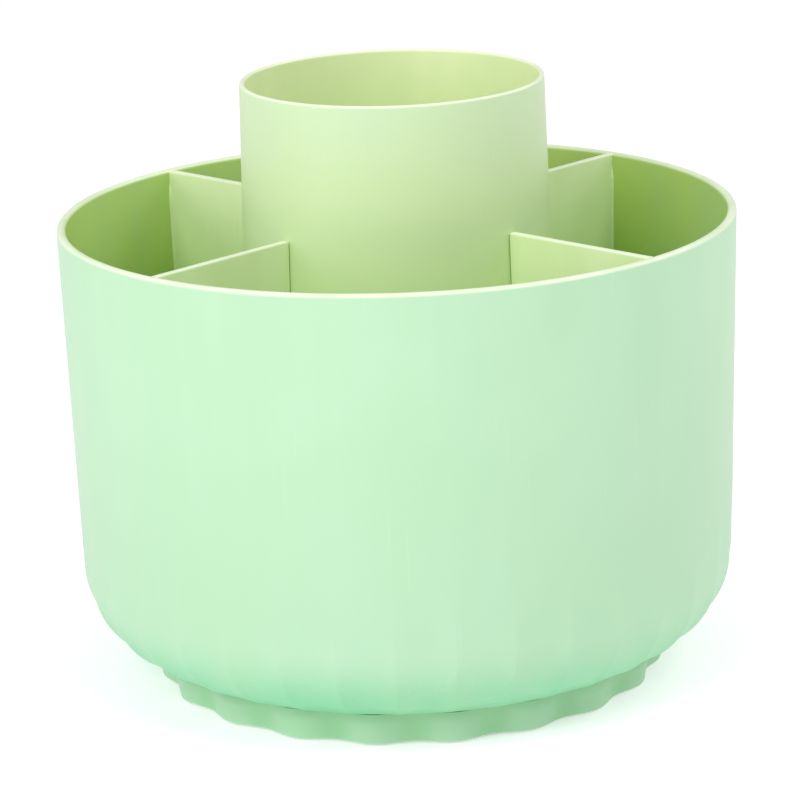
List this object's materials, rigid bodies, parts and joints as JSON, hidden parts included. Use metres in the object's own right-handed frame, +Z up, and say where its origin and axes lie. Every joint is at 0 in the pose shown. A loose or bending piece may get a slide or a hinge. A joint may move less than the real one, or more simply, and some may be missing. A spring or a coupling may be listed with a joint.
{
  "type": "rotating desk caddy",
  "caption": "Round open-top tub with divider plates and a taller round centre cup, turning on a low scalloped foot, for holding pens, brushes and small hand tools.",
  "frame": {"origin": "on the axis of rotation, in the plane of the rubber feet's undersides", "axes": "+Z up along the axis of rotation, -Y towards the front; the divider plates stand at 45 degrees to X and Y"},
  "size_m": [0.15, 0.15, 0.1345],
  "materials": {
    "tub_plastic": "pastel mint, satin, flow-free moulded surface",
    "cup_plastic": "pastel mint, satin moulded surface, a little yellower than the tub",
    "foot_plastic": "mint, satin moulded surface, a little darker than the tub",
    "cap_plastic": "satin moulded cap in the cup's colour",
    "nylon": "natural nylon",
    "zinc_steel": "pressed zinc-plated steel",
    "ball_steel": "polished bearing steel",
    "rubber": "dark soft rubber pads"
  },
  "bodies": {
    "foot": {"foot_shell": "foot_plastic", "foot_plate": "foot_plastic", "foot_plate_screws": "zinc_steel", "rubber_feet": "rubber", "lower_race": "zinc_steel", "lower_race_screws": "zinc_steel", "pivot_bolt": "zinc_steel", "pivot_washer": "zinc_steel", "pivot_nut": "zinc_steel"},
    "caddy": {"tub": "tub_plastic", "divider_front_left": "tub_plastic", "divider_front_right": "tub_plastic", "divider_rear_left": "tub_plastic", "divider_rear_right": "tub_plastic", "centre_cup": "cup_plastic", "upper_race": "zinc_steel", "upper_race_screws": "zinc_steel", "pivot_bush": "nylon", "pivot_cap": "cap_plastic"},
    "ball_ring": {"ball_cage": "nylon", "bearing_balls": "ball_steel"}
  },
  "joints": [
    {"name": "caddy_spin", "type": "hinge", "parent": "foot", "child": "caddy", "pos_m": [0, 0, 0.0155], "axis": [0, 0, 1], "continuous": true},
    {"name": "ball_ring_spin", "type": "hinge", "parent": "foot", "child": "ball_ring", "pos_m": [0, 0, 0.0094], "axis": [0, 0, 1], "continuous": true}
  ],
  "couplings": [
    {"joint": "ball_ring_spin", "follows": "caddy_spin", "ratio": 0.5}
  ]
}
